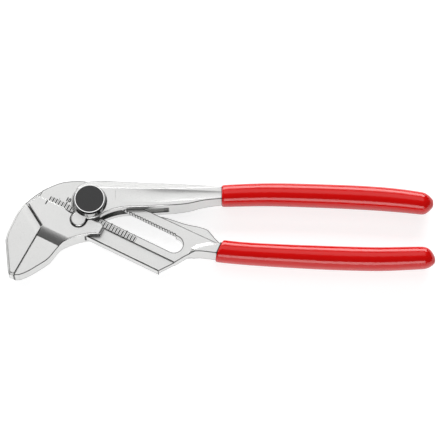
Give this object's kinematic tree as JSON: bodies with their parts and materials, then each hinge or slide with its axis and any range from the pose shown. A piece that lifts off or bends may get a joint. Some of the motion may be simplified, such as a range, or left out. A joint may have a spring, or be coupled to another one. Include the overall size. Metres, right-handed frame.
{
  "type": "pliers wrench",
  "caption": "Parallel-jaw pliers wrench with a push-button slot adjustment, smooth sliding jaw, millimetre scale and red dipped grips.",
  "frame": {"origin": "on the pivot axis, in the plane of the rear face that the tool lies on", "axes": "+X along the handles towards their tips, +Y towards the upper handle, +Z out of the face with the push button"},
  "size_m": [0.2514, 0.0596, 0.0187],
  "materials": {
    "forged_steel": "satin chrome plate on forged steel",
    "turned_steel": "polished turned steel",
    "black_cap": "matt moulded",
    "spring_wire": "drawn spring wire",
    "red_grip": "glossy dipped PVC"
  },
  "bodies": {
    "fixed_lever": {"slotted_lever": "forged_steel", "lower_grip": "red_grip"},
    "carriage": {"pivot_bush": "turned_steel", "rear_cap": "turned_steel", "button_spring": "spring_wire"},
    "handle": {"upper_lever": "forged_steel", "upper_grip": "red_grip", "button_collar": "turned_steel"},
    "sliding_jaw": {"movable_jaw": "forged_steel"},
    "button": {"lock_bolt": "turned_steel", "push_button": "turned_steel", "button_cap": "black_cap"}
  },
  "joints": [
    {"name": "size_adjust", "type": "slide", "parent": "fixed_lever", "child": "carriage", "axis": [0.8894, -0.4571, 0], "range_m": [0, 0.0432]},
    {"name": "handle_pivot", "type": "hinge", "parent": "carriage", "child": "handle", "pos_m": [0, 0, 0.0075], "axis": [0, 0, 1], "range_deg": [0, 30]},
    {"name": "jaw_travel", "type": "slide", "parent": "carriage", "child": "sliding_jaw", "axis": [0.8894, -0.4571, 0], "range_m": [0, 0.0066]},
    {"name": "button_press", "type": "slide", "parent": "carriage", "child": "button", "axis": [0, 0, -1], "range_m": [0, 0.0029], "stiffness_N_per_m": 1500, "springref_m": -0.002, "deforming": ["button_spring"]}
  ],
  "couplings": [
    {"joint": "jaw_travel", "follows": "handle_pivot", "m_per_rad": 0.01247}
  ]
}
